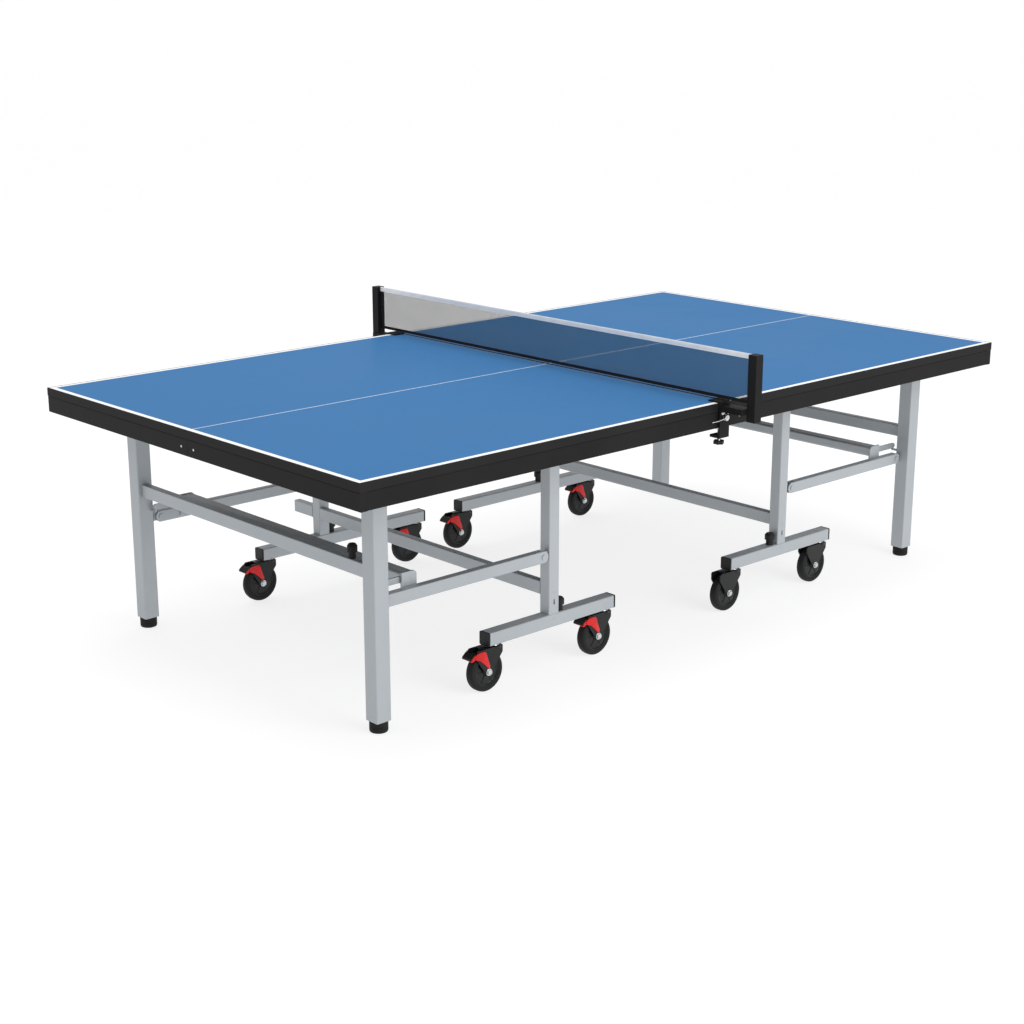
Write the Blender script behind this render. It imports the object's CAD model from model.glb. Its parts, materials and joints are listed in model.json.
# %% [markdown]
# # A rolling table tennis table
# The frame comes packed from the CAD part: two rolling halves, their folding linkage, the
# casters and the net's clamps, each in its place. This script keeps that frame as it is. It
# gives every CAD piece a finish, adds the small turned and moulded pieces that the frame only
# stands in for, and weaves the net. The printed lines say what each cell made.

# %% Load the frame
import json
import math

import bmesh
import bpy
from mathutils import Matrix, Vector


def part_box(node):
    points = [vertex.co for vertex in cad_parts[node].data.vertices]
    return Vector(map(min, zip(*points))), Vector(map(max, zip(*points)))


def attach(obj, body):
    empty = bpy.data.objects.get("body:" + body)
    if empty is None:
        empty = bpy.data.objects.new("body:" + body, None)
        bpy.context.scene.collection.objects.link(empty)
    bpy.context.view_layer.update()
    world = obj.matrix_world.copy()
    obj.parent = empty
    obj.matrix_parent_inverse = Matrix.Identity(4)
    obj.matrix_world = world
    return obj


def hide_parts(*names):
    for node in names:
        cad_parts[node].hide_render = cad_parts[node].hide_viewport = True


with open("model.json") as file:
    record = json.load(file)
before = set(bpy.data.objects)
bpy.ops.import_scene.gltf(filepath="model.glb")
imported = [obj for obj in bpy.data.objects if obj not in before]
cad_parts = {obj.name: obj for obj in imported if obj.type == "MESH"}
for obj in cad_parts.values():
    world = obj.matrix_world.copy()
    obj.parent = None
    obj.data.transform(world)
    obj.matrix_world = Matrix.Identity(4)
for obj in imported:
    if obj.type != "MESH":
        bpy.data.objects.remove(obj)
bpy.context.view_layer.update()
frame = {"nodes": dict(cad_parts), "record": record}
nodes = frame["nodes"]

# %% [markdown]
# The camera stands off the near corner of the left half, a little above the playing surface,
# and looks along the diagonal. A long lens keeps the legs almost parallel. Setting it before
# anything is modelled means that every later choice can be checked from the same place.

# %% Camera
scene = bpy.context.scene
camera_data = bpy.data.cameras.new("camera")
camera_data.lens = 63.6
camera_data.sensor_width = 36
camera = bpy.data.objects.new("camera", camera_data)
scene.collection.objects.link(camera)
scene.camera = camera
yaw = math.radians(47.24)
pitch = math.radians(15.93)
level = math.cos(pitch)
heading = Vector((math.cos(yaw) * level, math.sin(yaw) * level, -math.sin(pitch)))
camera.location = (-3.980, -4.132, 1.900)
camera.rotation_euler = heading.to_track_quat("-Z", "Y").to_euler()
print("camera at", [round(v, 2) for v in camera.location], "lens", camera_data.lens, "mm")

# %% [markdown]
# A product studio is a white room: an even surround, two big soft lamps and a pale floor. The
# surround is shown whiter than it shines, so the floor runs into it with no horizon, and it
# still lights the table gently.

# %% Surround
scene.view_settings.view_transform = "Standard"
scene.view_settings.look = "None"
shining_strength = 0.66
shown_strength = 1.02
surround = bpy.data.worlds.new("surround")
surround.use_nodes = True
surround.node_tree.nodes["Background"].inputs["Color"].default_value = (1.0, 1.0, 1.0, 1.0)
seen = surround.node_tree.nodes.new("ShaderNodeLightPath")
brightness = surround.node_tree.nodes.new("ShaderNodeMapRange")
brightness.inputs["To Min"].default_value = shining_strength
brightness.inputs["To Max"].default_value = shown_strength
surround.node_tree.links.new(seen.outputs["Is Camera Ray"], brightness.inputs["Value"])
surround.node_tree.links.new(brightness.outputs["Result"],
                             surround.node_tree.nodes["Background"].inputs["Strength"])
scene.world = surround
print("surround: shines", shining_strength, "and is shown as", shown_strength)

# %% [markdown]
# One lamp is on the near side, because the tube faces on that side are the lightest. The other
# is overhead, for the playing surface. Both are large, so no shadow has a hard edge.


# %% Lamps
def soft_lamp(name, place, target, size, watts):
    """A square area lamp at place that points at target."""
    lamp_data = bpy.data.lights.new(name, "AREA")
    lamp_data.size = size
    lamp_data.energy = watts
    lamp = bpy.data.objects.new(name, lamp_data)
    scene.collection.objects.link(lamp)
    lamp.location = place
    lamp.rotation_euler = (Vector(target) - Vector(place)).to_track_quat("-Z", "Y").to_euler()
    return lamp


table_heart = (0.0, 0.0, 0.5)
lamps = [
    soft_lamp("near_side_lamp", (0.5, -6.0, 2.6), table_heart, size=4.0, watts=160),
    soft_lamp("overhead_lamp", (0.0, 0.8, 5.5), table_heart, size=4.5, watts=125),
]
print("lamps:", len(lamps))

# %% [markdown]
# The floor of such a studio is often lit from below. This one glows a little too, so the
# shadows under the table stay faint.

# %% Floor
floor_mesh = bpy.data.meshes.new("floor")
floor_bm = bmesh.new()
bmesh.ops.create_grid(floor_bm, x_segments=1, y_segments=1, size=1500.0)
floor_bm.to_mesh(floor_mesh)
floor_bm.free()
floor = bpy.data.objects.new("floor", floor_mesh)
scene.collection.objects.link(floor)
floor_paint = bpy.data.materials.new("floor_paint")
floor_paint.use_nodes = True
floor_shader = floor_paint.node_tree.nodes["Principled BSDF"]
floor_shader.inputs["Base Color"].default_value = (0.30, 0.30, 0.30, 1.0)
floor_shader.inputs["Emission Color"].default_value = (1.0, 1.0, 1.0, 1.0)
floor_shader.inputs["Emission Strength"].default_value = 0.78
floor_shader.inputs["Roughness"].default_value = 0.9
floor_shader.inputs["Specular IOR Level"].default_value = 0.1
floor_mesh.materials.append(floor_paint)
print("floor: a glow of", floor_shader.inputs["Emission Strength"].default_value)

# %% [markdown]
# Almost every finish here is a smooth coat with a very fine texture, and what tells one from
# another is how coarse and how deep that texture is. One shared node group makes it: noise on
# the object's own coordinates gives a height for the bump, and a slower noise gives a mask for
# the small changes of tone and gloss that handling leaves.


# %% Shared node group: coat texture
def socket(group, name, way, kind, default=None):
    """Adds an input or an output to a node group."""
    made = group.interface.new_socket(name=name, in_out=way, socket_type=kind)
    if default is not None:
        made.default_value = default
    return made


coat_group = bpy.data.node_groups.new("coat_texture", "ShaderNodeTree")
socket(coat_group, "Grain per metre", "INPUT", "NodeSocketFloat", 900.0)
socket(coat_group, "Cloud per metre", "INPUT", "NodeSocketFloat", 3.0)
socket(coat_group, "Height", "OUTPUT", "NodeSocketFloat")
socket(coat_group, "Clouds", "OUTPUT", "NodeSocketFloat")
gn = coat_group.nodes
gl = coat_group.links
group_in = gn.new("NodeGroupInput")
group_out = gn.new("NodeGroupOutput")
place = gn.new("ShaderNodeTexCoord")
grain = gn.new("ShaderNodeTexNoise")
grain.inputs["Detail"].default_value = 2.0
clouds = gn.new("ShaderNodeTexNoise")
clouds.inputs["Detail"].default_value = 4.0
clouds.inputs["Roughness"].default_value = 0.6
gl.new(place.outputs["Object"], grain.inputs["Vector"])
gl.new(place.outputs["Object"], clouds.inputs["Vector"])
gl.new(group_in.outputs["Grain per metre"], grain.inputs["Scale"])
gl.new(group_in.outputs["Cloud per metre"], clouds.inputs["Scale"])
gl.new(grain.outputs["Fac"], group_out.inputs["Height"])
gl.new(clouds.outputs["Fac"], group_out.inputs["Clouds"])
print("node group:", coat_group.name)

# %% [markdown]
# A finish is then one call. It places the shared group in a new material and lets the clouds
# shift the colour between two close tones and the roughness between two close values. The
# plain numbers, such as metal or coat, are set on the shader's own sockets.


# %% Finishes
def ramp(tree, low, high):
    """A map from the clouds' middle range to low..high."""
    made = tree.nodes.new("ShaderNodeMapRange")
    made.inputs["From Min"].default_value = 0.35
    made.inputs["From Max"].default_value = 0.65
    made.inputs["To Min"].default_value = low
    made.inputs["To Max"].default_value = high
    return made


def finish(name, dark, light, rough, metallic=0.0, specular=0.5, coat=0.0, grain_size=900.0,
           depth=0.02, cloud_size=3.0):
    """A coated surface: two close colours, a range of roughness and a bump, in millimetres deep."""
    made = bpy.data.materials.new(name)
    made.use_nodes = True
    tree = made.node_tree
    shader = tree.nodes["Principled BSDF"]
    shader.inputs["Metallic"].default_value = metallic
    shader.inputs["Specular IOR Level"].default_value = specular
    shader.inputs["Coat Weight"].default_value = coat
    coat_node = tree.nodes.new("ShaderNodeGroup")
    coat_node.node_tree = coat_group
    coat_node.inputs["Grain per metre"].default_value = grain_size
    coat_node.inputs["Cloud per metre"].default_value = cloud_size
    share = ramp(tree, 0.0, 1.0)
    tree.links.new(coat_node.outputs["Clouds"], share.inputs["Value"])
    tone = tree.nodes.new("ShaderNodeMix")
    tone.data_type = "RGBA"
    tone.name = "tone"
    tone.inputs["A"].default_value = (*dark, 1.0)
    tone.inputs["B"].default_value = (*light, 1.0)
    tree.links.new(share.outputs["Result"], tone.inputs["Factor"])
    tree.links.new(tone.outputs["Result"], shader.inputs["Base Color"])
    gloss = ramp(tree, rough[0], rough[1])
    tree.links.new(coat_node.outputs["Clouds"], gloss.inputs["Value"])
    tree.links.new(gloss.outputs["Result"], shader.inputs["Roughness"])
    bump = tree.nodes.new("ShaderNodeBump")
    bump.inputs["Strength"].default_value = 0.6
    bump.inputs["Distance"].default_value = depth * 0.001
    tree.links.new(coat_node.outputs["Height"], bump.inputs["Height"])
    tree.links.new(bump.outputs["Normal"], shader.inputs["Normal"])
    return made


black_steel = finish(
    "black_powder_coat", (0.012, 0.0118, 0.012), (0.017, 0.0166, 0.017), (0.42, 0.52),
    specular=0.07, grain_size=700.0, depth=0.08)
edge_band = finish(
    "black_edge_band", (0.015, 0.0146, 0.015), (0.020, 0.0195, 0.020), (0.45, 0.55),
    specular=0.07, grain_size=500.0, depth=0.05)
silver_tube = finish(
    "silver_powder_coat", (0.375, 0.405, 0.43), (0.41, 0.44, 0.465), (0.36, 0.46),
    metallic=0.25, grain_size=1100.0, depth=0.05)
black_plastic = finish(
    "moulded_black_plastic", (0.009, 0.0095, 0.010), (0.014, 0.0145, 0.015), (0.40, 0.5),
    specular=0.22, grain_size=1500.0, depth=0.1)
black_rubber = finish(
    "black_rubber", (0.007, 0.007, 0.0075), (0.012, 0.012, 0.0125), (0.55, 0.7),
    specular=0.22, grain_size=800.0, depth=0.12, cloud_size=14.0)
caster_black = finish(
    "semi_gloss_caster", (0.006, 0.0065, 0.007), (0.010, 0.0105, 0.011), (0.26, 0.36),
    specular=0.3, grain_size=1200.0, depth=0.05, cloud_size=20.0)
bright_steel = finish(
    "bright_zinc", (0.56, 0.57, 0.59), (0.68, 0.69, 0.70), (0.18, 0.32),
    metallic=1.0, grain_size=2500.0, depth=0.03, cloud_size=60.0)
brake_red = finish(
    "brake_red", (0.50, 0.002, 0.003), (0.64, 0.004, 0.005), (0.22, 0.32),
    specular=0.3, coat=0.15, grain_size=1500.0, depth=0.05, cloud_size=30.0)
white_cloth = finish(
    "white_tape_cloth", (0.74, 0.76, 0.79), (0.82, 0.83, 0.85), (0.75, 0.85),
    specular=0.2, grain_size=1400.0, depth=0.25, cloud_size=25.0)
black_cloth = finish(
    "black_hem_cloth", (0.010, 0.010, 0.012), (0.016, 0.016, 0.019), (0.8, 0.9),
    specular=0.2, grain_size=1400.0, depth=0.25, cloud_size=25.0)
net_thread = finish(
    "net_thread", (0.008, 0.009, 0.011), (0.014, 0.015, 0.018), (0.6, 0.7),
    specular=0.3, grain_size=3000.0, depth=0.05, cloud_size=30.0)
print("finishes:", len(bpy.data.materials) - 1, "and the floor's paint")

# %% [markdown]
# The board is lacquered blue, and its white lines are sprayed on: 20 mm along the sides and
# the end, and 3 mm down the middle. Paint has no thickness to speak of, so the lines belong in
# the material. Tests on the object's coordinates say where the paint is, and only on the top
# face. The underside has no blue here: it is sealed with a dark grey primer.


# %% Board lacquer with painted lines
def math_node(tree, kind, first, second=None):
    """The output of a Math node whose inputs are numbers or other outputs."""
    made = tree.nodes.new("ShaderNodeMath")
    made.operation = kind
    for i, value in enumerate((first, second)):
        if value is None:
            continue
        if isinstance(value, (int, float)):
            made.inputs[i].default_value = value
        else:
            tree.links.new(value, made.inputs[i])
    return made.outputs["Value"]


top_low, top_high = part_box("left_edge_trim")
table_end = -top_low.x
table_side = top_high.y
surface = top_high.z
side_line = 0.020
centre_line = 0.003
face_depth = 0.0005
line_white = (0.93, 0.935, 0.94, 1.0)
primer_grey = (0.030, 0.031, 0.033, 1.0)
board_blue = finish(
    "blue_lacquer", (0.049, 0.178, 0.400), (0.053, 0.187, 0.413), (0.40, 0.50),
    specular=0.02, grain_size=350.0, depth=0.04, cloud_size=1.6)
tree = board_blue.node_tree
coords = tree.nodes.new("ShaderNodeTexCoord")
parts = tree.nodes.new("ShaderNodeSeparateXYZ")
tree.links.new(coords.outputs["Object"], parts.inputs["Vector"])
across = math_node(tree, "ABSOLUTE", parts.outputs["Y"])
along = math_node(tree, "ABSOLUTE", parts.outputs["X"])
in_side = math_node(tree, "GREATER_THAN", across, table_side - side_line)
in_end = math_node(tree, "GREATER_THAN", along, table_end - side_line)
in_centre = math_node(tree, "LESS_THAN", across, centre_line / 2)
in_line = math_node(tree, "MAXIMUM", math_node(tree, "MAXIMUM", in_side, in_end), in_centre)
on_top = math_node(tree, "GREATER_THAN", parts.outputs["Z"], surface - face_depth)
painted = math_node(tree, "MULTIPLY", in_line, on_top)
paint = tree.nodes.new("ShaderNodeMix")
paint.data_type = "RGBA"
paint.inputs["B"].default_value = line_white
tree.links.new(painted, paint.inputs["Factor"])
tree.links.new(tree.nodes["tone"].outputs["Result"], paint.inputs["A"])
board_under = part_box("left_top_board")[0].z
underneath = math_node(tree, "LESS_THAN", parts.outputs["Z"], board_under + face_depth)
primer = tree.nodes.new("ShaderNodeMix")
primer.data_type = "RGBA"
primer.inputs["B"].default_value = primer_grey
tree.links.new(underneath, primer.inputs["Factor"])
tree.links.new(paint.outputs["Result"], primer.inputs["A"])
tree.links.new(primer.outputs["Result"], tree.nodes["Principled BSDF"].inputs["Base Color"])
print("board lines:", side_line, "m at the edges,", centre_line, "m down the middle")

# %% [markdown]
# Real sheet metal and moulded plastic have no knife edges. The CAD pieces stay untouched, and
# a Bevel modifier rounds their sharp edges by 0.6 mm to catch the light. It needs joined
# faces, so a Weld modifier runs before it. The bolts of the trolley and the legs are painted
# over with their tubes.


# %% Dress the CAD pieces
def dress(node, material):
    """Gives a CAD piece its finish and a fine rounding of its sharp edges."""
    piece = nodes[node]
    piece.data.materials.clear()
    piece.data.materials.append(material)
    for polygon in piece.data.polygons:
        polygon.use_smooth = False
    weld = piece.modifiers.new("weld", "WELD")
    weld.merge_threshold = 0.00001
    bevel = piece.modifiers.new("bevel", "BEVEL")
    bevel.width = edge_round
    bevel.segments = 2
    bevel.limit_method = "ANGLE"
    bevel.angle_limit = math.radians(50)


edge_round = 0.0006
finish_of = {
    "board": board_blue,
    "edge_band": edge_band,
    "black_steel": black_steel,
    "silver_tube": silver_tube,
    "black_plastic": black_plastic,
    "black_rubber": black_rubber,
    "bright_steel": bright_steel,
    "caster_fork": caster_black,
    "wheel_rubber": black_rubber,
    "brake_red": brake_red,
    "net_cloth": net_thread,
    "tape_cloth": white_cloth,
}
paint_over = {"left_trolley_bolts", "right_trolley_bolts", "left_leg_bolts", "right_leg_bolts"}
for entry in frame["record"]["subparts"]:
    node_name = entry["node"]
    if node_name in paint_over:
        dress(node_name, silver_tube)
    else:
        dress(node_name, finish_of[entry["material_slot"]])
print("dressed", len(nodes), "CAD pieces")

# %% [markdown]
# Most of the small parts are turned: a tyre, a hub, a knob and a foot each have one outline
# that goes round an axis. Spinning the outline gives exact roundness with few faces. A part
# that a press or a mould makes is an outline pushed straight through, so a second helper
# extrudes one. Both finish the mesh in the same way, with its place in its vertices.


# %% Helpers for new pieces
MM = 0.001


def finished(name, bm, material, body, sharp=35.0):
    """Turns a bmesh into a smooth-shaded piece that rides on a body."""
    bmesh.ops.remove_doubles(bm, verts=bm.verts, dist=0.000002)
    bmesh.ops.recalc_face_normals(bm, faces=bm.faces)
    mesh = bpy.data.meshes.new(name)
    bm.to_mesh(mesh)
    bm.free()
    mesh.shade_smooth()
    mesh.set_sharp_from_angle(angle=math.radians(sharp))
    mesh.materials.append(material)
    made = bpy.data.objects.new(name, mesh)
    scene.collection.objects.link(made)
    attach(made, body)
    return made


TO_Y = Matrix.Rotation(-math.pi / 2, 4, "X")
TO_X = Matrix.Rotation(math.pi / 2, 4, "Y")
UPRIGHT = Matrix.Identity(4)


def turn(bm, profile, centre, way=UPRIGHT, steps=48, closed=True):
    """Spins (radius, height) points, in millimetres, round an axis through centre."""
    earlier = set(bm.verts)
    verts = [bm.verts.new((r * MM, 0.0, h * MM)) for r, h in profile]
    ends = verts[1:] + verts[:1] if closed else verts[1:]
    edges = [bm.edges.new(pair) for pair in zip(verts, ends)]
    bmesh.ops.spin(bm, geom=verts + edges, axis=(0, 0, 1), cent=(0, 0, 0), angle=2 * math.pi,
                   steps=steps, use_merge=True)
    turned = [v for v in bm.verts if v not in earlier]
    bmesh.ops.transform(bm, matrix=Matrix.Translation(centre) @ way, verts=turned)


def push(bm, outline, y0, y1, centre, round_off=0.0):
    """Pushes an outline of (x, z) points, in millimetres, from y0 to y1."""
    verts = [bm.verts.new((x * MM, y0 * MM, z * MM)) for x, z in outline]
    face = bm.faces.new(verts)
    side = bmesh.ops.extrude_face_region(bm, geom=[face])
    far = [v for v in side["geom"] if isinstance(v, bmesh.types.BMVert)]
    bmesh.ops.translate(bm, verts=far, vec=(0, (y1 - y0) * MM, 0))
    both_ends = verts + far
    bmesh.ops.translate(bm, verts=both_ends, vec=centre)
    if round_off:
        edges = list({edge for v in both_ends for edge in v.link_edges})
        bmesh.ops.bevel(bm, geom=edges, offset=round_off * MM, segments=2, profile=0.5,
                        affect="EDGES", material=-1)


def middle(node):
    """The middle of a CAD piece's box."""
    low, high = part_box(node)
    return (low + high) / 2


print("helpers: finished, turn, push, middle")

# %% [markdown]
# A caster wheel is a rubber tyre moulded on a plastic hub. The tyre's outline has chamfered
# shoulders and a flat tread. The hub's disc is sunk a few millimetres between a boss and a
# rim, and six low ribs cross it, so light and shadow show its depth.

# %% Caster wheels
wheel_r = 61
tyre_outline = [(45, -11.5), (47, -13.2), (53, -14), (57.5, -12.6), (60, -9.5),
                (wheel_r, -5), (wheel_r, 5), (60, 9.5), (57.5, 12.6), (53, 14), (47, 13.2), (45, 11.5)]
hub_outline = [(4.05, -15), (11.5, -15), (13, -13.5), (14, -9.6), (16, -9), (36, -9), (38, -10.4),
               (40, -10.4), (41, -12.2), (42.5, -12.6), (45.2, -11.5), (45.2, 11.5),
               (42.5, 12.6), (41, 12.2), (40, 10.4), (38, 10.4), (36, 9), (16, 9), (14, 9.6),
               (13, 13.5), (11.5, 15), (4.05, 15)]
rib_count = 6
rib_out = Matrix.Translation((0.027, 0, 0))
rib_size = Matrix.Diagonal((0.026, 0.0206, 0.0030, 1.0))
casters = [n for n in nodes if n.endswith("_wheel")]
for node_name in casters:
    hub_centre = middle(node_name)
    tyre_bm = bmesh.new()
    turn(tyre_bm, tyre_outline, hub_centre, TO_Y, steps=64)
    tyre = finished(node_name + "_tyre", tyre_bm, black_rubber, node_name)
    hub_bm = bmesh.new()
    turn(hub_bm, hub_outline, hub_centre, TO_Y, steps=48)
    for i in range(rib_count):
        rib_turn = Matrix.Rotation(i * 2 * math.pi / rib_count, 4, "Y")
        rib_place = Matrix.Translation(hub_centre) @ rib_turn @ rib_out
        bmesh.ops.create_cube(hub_bm, size=1.0, matrix=rib_place @ rib_size)
    finished(node_name + "_hub", hub_bm, caster_black, node_name)
    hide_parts(node_name)
print("wheels:", len(casters), "of", 2 * wheel_r, "mm")

# %% [markdown]
# A bright axle bolt shows on each side of the fork as a hexagon head on a washer, and a bright
# swivel race shows between the fork and the base bar. They are the only shiny parts of a
# caster, so they are separate pieces with the zinc finish.

# %% Axle heads and swivel races
forks = [n for n in nodes if n.endswith("_fork")]
washer = [(0, 20.1), (10.2, 20.1), (10.6, 20.5), (10.6, 21.3), (10.2, 21.6), (0, 21.6)]
head_r = 0.0084
head_tall = 0.0048
head_out = 0.0240
caster_trail = 0.035
race = [(9.4, 132.0), (16.0, 132.0), (17.2, 132.8), (16.6, 134.2), (15.0, 134.7), (9.4, 134.7)]
for node_name in forks:
    axle = middle(node_name.replace("_fork", "_wheel"))
    heads_bm = bmesh.new()
    for side_sign in (-1, 1):
        turn(heads_bm, [(r, side_sign * h) for r, h in washer], axle, TO_Y, steps=32, closed=False)
        head_place = Matrix.Translation(axle + Vector((0, side_sign * head_out, 0))) @ TO_Y
        head = bmesh.ops.create_cone(heads_bm, cap_ends=True, segments=6, radius1=head_r,
                                     radius2=head_r, depth=head_tall, matrix=head_place)
        rim_edges = {edge for v in head["verts"] for edge in v.link_edges}
        bmesh.ops.bevel(heads_bm, geom=list(rim_edges), offset=0.0006, segments=2, profile=0.5,
                        affect="EDGES", material=-1)
    finished(node_name + "_axle_heads", heads_bm, bright_steel, node_name)
    race_bm = bmesh.new()
    turn(race_bm, race, Vector((axle.x + caster_trail, axle.y, 0)), UPRIGHT, steps=40)
    finished(node_name + "_race", race_bm, bright_steel, node_name)
print("axle heads and races on", len(forks), "forks")

# %% [markdown]
# The brake is one red moulding that sits over the fork like a saddle: a cheek down each side
# of the fork and a pedal behind it, for a toe to press. The pedal ends in a black grip with
# three ridges. Outlines pushed across the caster make all of it, with soft moulded edges.

# %% Red brake pedals
cheek_outline = [(-16, -9), (-17, 1), (-7, 7), (6, 9), (20, 8), (26, 2), (31, -14), (39, -36),
                 (40, -43), (36, -46), (31, -44), (18, -30), (2, -16)]
pedal_outline = [(-12.4, 4.4), (-16, 3), (-26, -5), (-29, -10), (-27, -14), (-22, -13),
                 (-16, -9), (-12.4, -8)]
grip_outline = [(-12, 5.6), (-17, 4.4), (-27.5, -4), (-30.6, -10.5), (-28.6, -10.6), (-26, -5.4),
                (-16, 2.6), (-12, 3.8)]
axle_to_pin = Vector((-0.037, 0, 0.058))
cheek_inside = 20.7
cheek_outside = 23.2
pedal_half = 21.5
ridge_pitch = 13
ridge_half = 6
brakes = [n for n in nodes if n.endswith("_brake")]
for node_name in brakes:
    pin = middle(node_name.replace("_brake", "_wheel")) + axle_to_pin
    saddle_bm = bmesh.new()
    push(saddle_bm, cheek_outline, -cheek_outside, -cheek_inside, pin, 0.7)
    push(saddle_bm, cheek_outline, cheek_inside, cheek_outside, pin, 0.7)
    push(saddle_bm, pedal_outline, -pedal_half, pedal_half, pin, 0.8)
    saddle = finished(node_name + "_saddle", saddle_bm, brake_red, node_name)
    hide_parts(node_name)
    grip_bm = bmesh.new()
    for ridge_y in (-ridge_pitch, 0, ridge_pitch):
        push(grip_bm, grip_outline, ridge_y - ridge_half, ridge_y + ridge_half, pin, 0.4)
    finished(node_name + "_grip", grip_bm, black_plastic, node_name)
print("brakes:", len(brakes))

# %% [markdown]
# Under each leg is a rubber foot on a screw, so the table can be levelled. It is turned, with
# a softened lower edge, two grip grooves and a shoulder that meets the leg.

# %% Screw feet
foot_outline = [(0, 0), (21.5, 0), (24.2, 1.2), (25.6, 3.6), (26, 7), (26, 10.5), (25.2, 11.2),
                (25.2, 12.2), (26, 12.9), (26, 16.4), (25.2, 17.1), (25.2, 18.1), (26, 18.8),
                (26, 29.8), (24.8, 31.6), (5, 31.6), (5, 71.5), (0, 71.5)]
feet = [n for n in nodes if n.endswith("_foot")]
for node_name in feet:
    foot_centre = middle(node_name)
    foot_bm = bmesh.new()
    turn(foot_bm, foot_outline, Vector((foot_centre.x, foot_centre.y, 0)), UPRIGHT, 56, closed=False)
    foot = finished(node_name + "_pad", foot_bm, black_rubber, node_name)
    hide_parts(node_name)
print("feet:", len(feet))

# %% [markdown]
# The net hangs from a cord inside a folded white tape, and its lower edge and both ends are
# bound in black. The cloth itself is open: thin threads a few millimetres apart with daylight
# between them. Real threads give the right see-through darkness from every side, where a
# transparent sheet would only tint what is behind it.

# %% Net threads
net_low, net_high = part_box("net_mesh")
net_middle = (net_low.x + net_high.x) / 2
net_width = net_high.y - net_low.y
hem = 0.010
cloth_low = net_low.z + hem
cloth_high = net_high.z
thread_gap = 0.0027
thread_r = 0.00042
net_bm = bmesh.new()


def thread(centre, length, turned):
    """A thin five-sided thread with its middle at centre."""
    bmesh.ops.create_cone(net_bm, cap_ends=True, segments=5, radius1=thread_r, radius2=thread_r,
                          depth=length, matrix=Matrix.Translation(centre) @ turned)


uprights_count = round(net_width / thread_gap)
for i in range(1, uprights_count):
    y = net_low.y + i * net_width / uprights_count
    tall = cloth_high - cloth_low
    thread(Vector((net_middle - 0.0003, y, (cloth_low + cloth_high) / 2)), tall, UPRIGHT)
rows_count = round((cloth_high - cloth_low) / thread_gap)
for i in range(1, rows_count):
    z = cloth_low + i * (cloth_high - cloth_low) / rows_count
    thread(Vector((net_middle + 0.0003, 0, z)), net_width, TO_Y)
net_cloth = finished("net_threads", net_bm, net_thread, "left_top", sharp=80.0)
print("net:", uprights_count - 1, "by", rows_count - 1, "threads")

# %% [markdown]
# The tape is one strip folded over the head line, open at the bottom. The hems are flat black
# bindings along the lower edge and up both ends. The cloth is declared as a stretched sheet
# that rests on the head line.

# %% Net tape and hems
tape_low, tape_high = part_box("net_tape")
tape_deep = tape_high.z - tape_low.z
tape_bm = bmesh.new()
fold_outline = [(-2.0, 0), (-2.0, 12.4), (-1.5, 14.2), (-0.6, 15), (0.6, 15), (1.5, 14.2),
                (2.0, 12.4), (2.0, 0), (1.3, 0), (1.3, 11.8), (0.7, 13.6), (-0.7, 13.6),
                (-1.3, 11.8), (-1.3, 0)]
tape_place = Vector((net_middle, 0, tape_low.z))
push(tape_bm, fold_outline, tape_low.y / MM, tape_high.y / MM, tape_place)
tape = finished("net_tape_fold", tape_bm, white_cloth, "left_top")
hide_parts("net_tape")
cord_bm = bmesh.new()
half_mm = 1000 * net_width / 2
cord_outline = [(0, -half_mm), (1.0, -half_mm), (1.0, half_mm), (0, half_mm)]
cord_place = Vector((net_middle, 0, tape_high.z - 0.0028))
turn(cord_bm, cord_outline, cord_place, TO_Y, steps=12, closed=False)
head_cord = finished("net_head_line", cord_bm, white_cloth, "left_top")
hem_bm = bmesh.new()
hem_outline = [(-0.9, 0), (0.9, 0), (1.0, 0.8), (0.9, 10), (-0.9, 10), (-1.0, 0.8)]
hem_place = Vector((net_middle, 0, net_low.z))
push(hem_bm, hem_outline, net_low.y / MM, net_high.y / MM, hem_place)
tall_mm = (tape_low.z - net_low.z) / MM
end_outline = [(-1.0, 0), (1.0, 0), (1.0, tall_mm), (-1.0, tall_mm)]
end_hem = 11
for end_y in (net_low.y / MM, net_high.y / MM - end_hem):
    push(hem_bm, end_outline, end_y, end_y + end_hem, hem_place, 0.3)
hems = finished("net_hems", hem_bm, black_cloth, "left_top")
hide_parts("net_mesh")
print("tape", round(tape_deep, 4), "m deep; cloth", round(net_width, 3), "m wide")

# %% [markdown]
# The clamps are worked by hand, so each screw ends in a black knob with round lobes. The knob
# starts as a circle whose points are drawn in between the lobes, and is pushed upwards and
# rounded. The screw above it is bright, and a row of fine turned ridges stands for its thread.

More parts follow.
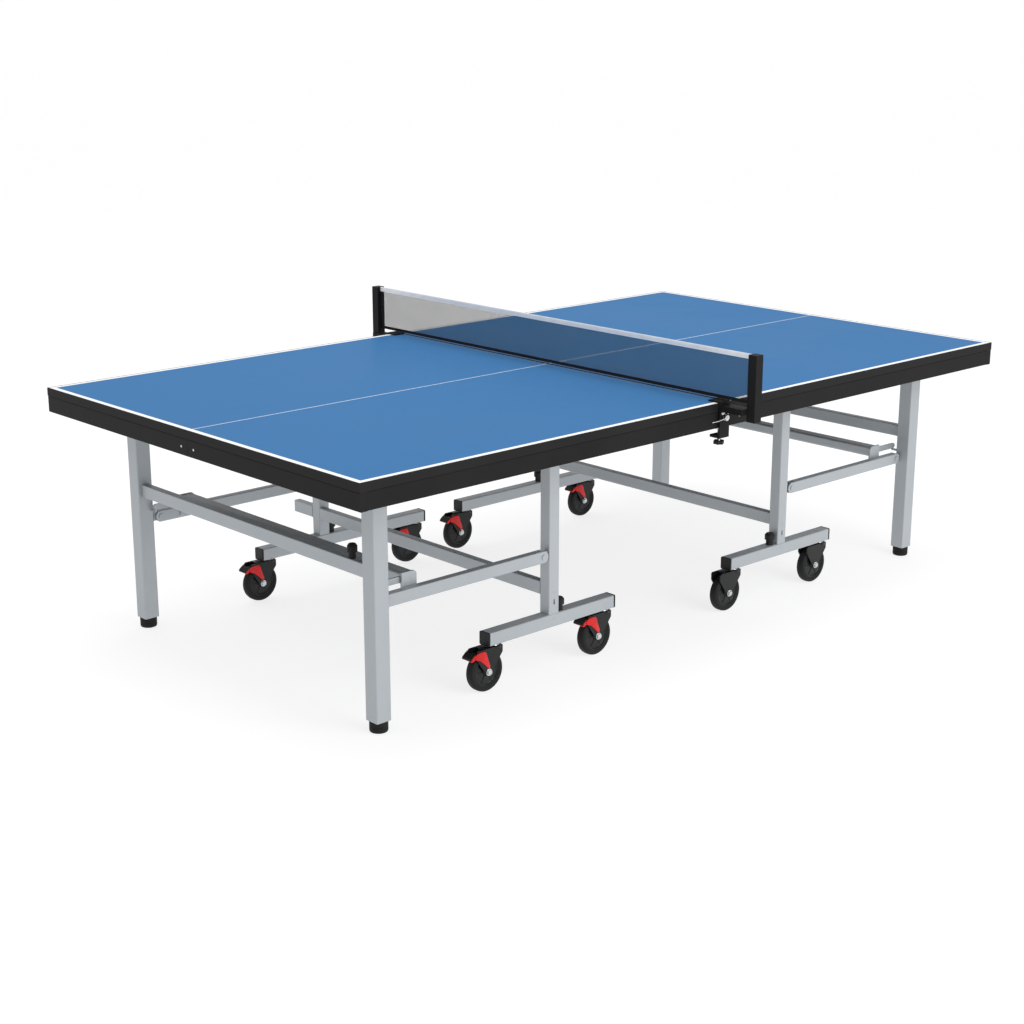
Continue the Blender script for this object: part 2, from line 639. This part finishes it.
# %% Clamp screws
lobes = 6
lobe_depth = 0.11
knob_r = 0.0165
knob_tall = 0.012
thread_start = 14
thread_pitch = 1.5
pad_tall = 6.0
for row_name in ("near", "far"):
    node_name = row_name + "_clamp_screw"
    low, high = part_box(node_name)
    centre = Vector(((low.x + high.x) / 2, (low.y + high.y) / 2, low.z))
    knob_bm = bmesh.new()
    ring = bmesh.ops.create_circle(knob_bm, cap_ends=True, segments=60, radius=knob_r,
                                   matrix=Matrix.Translation(centre))["verts"]
    for v in ring:
        out = v.co - centre
        waist = 1.0 - lobe_depth * (1.0 + math.cos(lobes * math.atan2(out.y, out.x)))
        v.co = centre + out * waist
    up = bmesh.ops.extrude_face_region(knob_bm, geom=list(knob_bm.faces))
    top_verts = [v for v in up["geom"] if isinstance(v, bmesh.types.BMVert)]
    bmesh.ops.translate(knob_bm, verts=top_verts, vec=(0, 0, knob_tall))
    rim = [e for e in knob_bm.edges if abs(e.verts[0].co.z - e.verts[1].co.z) < 0.000001]
    bmesh.ops.bevel(knob_bm, geom=rim, offset=0.0022, segments=3, profile=0.5, affect="EDGES",
                    material=-1)
    knob = finished(node_name + "_knob", knob_bm, black_plastic, node_name)
    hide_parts(node_name)
    tall = round((high.z - low.z) / MM, 1)
    thread_outline = [(0, 11.5), (4.9, 11.5)]
    for i in range(int((tall - pad_tall - thread_start) / thread_pitch)):
        h = thread_start + thread_pitch * i
        thread_outline += [(4.2, h), (4.9, h + thread_pitch / 2)]
    thread_outline += [(4.9, tall - pad_tall), (11, tall - pad_tall), (12, tall - 5.0),
                       (12, tall - 0.6), (11.4, tall), (0, tall)]
    screw_bm = bmesh.new()
    turn(screw_bm, thread_outline, centre, UPRIGHT, 36, closed=False)
    finished(node_name + "_rod", screw_bm, bright_steel, node_name)
print("clamp knobs with", lobes, "lobes")

# %% [markdown]
# Small fixings tell the eye how the table goes together. The screws in the aprons are bright
# low domes: two on each side of the right half beside the net, and two in the middle of each
# end. Between those two, a fine seam shows where the lengths of end apron meet.


# %% Apron screws and seams
dome = [(0, 1.5), (2.2, 1.3), (3.4, 0.7), (3.9, 0.0), (3.9, -0.3), (0, -0.3)]


def fixing(name, places, way, size, material, body):
    """Low domes at places, with their heads towards the way's own up."""
    bm = bmesh.new()
    for spot in places:
        turn(bm, [(r * size, h * size) for r, h in dome], Vector(spot), way, 24, closed=False)
    return finished(name, bm, material, body)


NEAR = Matrix.Rotation(math.pi / 2, 4, "X")
FAR = TO_Y
apron_low, apron_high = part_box("left_aprons")
apron_middle = (apron_low.z + apron_high.z) / 2
screw_xs = (0.052, 0.086)
for name, face_y, way in (("net_side_screws", apron_low.y, NEAR),
                          ("net_side_screws_far", -apron_low.y, FAR)):
    fixing(name, [(x, face_y, apron_middle) for x in screw_xs], way, 1.1, bright_steel,
           "right_top")
end_screw_y = 0.03
seam_size = Matrix.Diagonal((0.0005, 0.0011, 0.0480, 1.0))
for half_name, sign in (("left", -1), ("right", 1)):
    end_way = Matrix.Rotation(-math.pi / 2, 4, "Y") if sign < 0 else TO_X
    end_x = sign * abs(apron_low.x)
    end_spots = [(end_x, -end_screw_y, apron_middle), (end_x, end_screw_y, apron_middle)]
    fixing(half_name + "_end_screws", end_spots, end_way, 0.9, bright_steel,
           half_name + "_top")
    seam_bm = bmesh.new()
    seam_place = Matrix.Translation((end_x, 0, apron_middle))
    bmesh.ops.create_cube(seam_bm, size=1.0, matrix=seam_place @ seam_size)
    finished(half_name + "_end_seam", seam_bm, black_rubber, half_name + "_top")
print("apron screws and seams at z", round(apron_middle, 4))

# %% [markdown]
# Each upright has two painted bolt heads low down and a dark keyhole slot between them. Each
# leg has one bolt head and one slot near its top. The slots are thin outlines that stand a
# third of a millimetre off the face.

# %% Bolts and slots of the uprights and legs
upright_x = 0.518
leg_x = 1.178
upright_side = abs(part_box("left_uprights")[0].y)
leg_side = abs(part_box("left_end_legs")[0].y)
slot_outline = [(-1.6, -8), (1.6, -8), (2.3, -6), (1.6, 0), (1.6, 7), (0, 8), (-1.6, 7),
                (-2.3, -6)]
slot_half = 0.35
for half_name, sign in (("left", -1), ("right", 1)):
    for row_name, row_sign, way in (("near", -1, NEAR), ("far", 1, FAR)):
        prefix = half_name + "_" + row_name
        x = sign * upright_x
        y = row_sign * upright_side
        fixing(prefix + "_upright_bolts", [(x, y, 0.160), (x, y, 0.240)], way, 1.0, silver_tube,
               half_name + "_trolley")
        slot_bm = bmesh.new()
        push(slot_bm, slot_outline, -slot_half, slot_half, Vector((x, y, 0.212)))
        finished(prefix + "_upright_slot", slot_bm, black_plastic, half_name + "_trolley")
        x = sign * leg_x
        y = row_sign * leg_side
        fixing(prefix + "_leg_bolt", [(x, y, 0.672)], way, 1.1, silver_tube,
               half_name + "_legs")
        slot_bm = bmesh.new()
        push(slot_bm, slot_outline, -slot_half, slot_half, Vector((x, y, 0.655)))
        finished(prefix + "_leg_slot", slot_bm, black_plastic, half_name + "_legs")
print("bolts and slots at y", round(upright_side, 4), "and", round(leg_side, 4))

# %% [markdown]
# Each net bracket carries bright hardware: a turned thumb screw with a thin lever, and two
# nuts above it. They catch the light beside the black post.

# %% Net bracket hardware
clamp_low, clamp_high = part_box("near_clamp_screw")
bracket_x = (clamp_low.x + clamp_high.x) / 2
bracket_y = table_side + 0.007
thumb_z = 0.716
nut_z = 0.7315
nut_spread = 0.012
lever_out = 8
lever_half = 1.2
thumb = [(0, 0), (8.5, 0), (9.2, 0.8), (9.2, 2.4), (7.2, 3.0), (7.2, 3.8), (8.8, 4.4), (9.0, 9.6),
         (8.2, 10.6), (4.0, 10.8), (3.4, 12.0), (0, 12.4)]
nut = [(0, 0), (6.4, 0), (6.8, 0.5), (6.8, 3.6), (6.0, 4.2), (3.2, 4.4), (3.0, 6.4), (0, 6.8)]
lever = [(0, -1.6), (-34, -5.4), (-64, -5.8), (-64, -3.6), (-34, -3.0), (0, 1.6)]
for row_name, row_sign, way in (("near", -1, NEAR), ("far", 1, FAR)):
    hardware_bm = bmesh.new()
    face_y = row_sign * bracket_y
    thumb_place = Vector((bracket_x, face_y, thumb_z))
    turn(hardware_bm, thumb, thumb_place, way, 28, closed=False)
    for nut_x in (bracket_x - nut_spread, bracket_x + nut_spread):
        turn(hardware_bm, nut, Vector((nut_x, face_y, nut_z)), way, 6, closed=False)
    lever_y = lever_out * row_sign
    push(hardware_bm, lever, lever_y - lever_half, lever_y + lever_half, thumb_place, 0.5)
    finished(row_name + "_bracket_hardware", hardware_bm, bright_steel, "left_top")
print("bracket hardware at", round(bracket_y, 4), "m to each side")
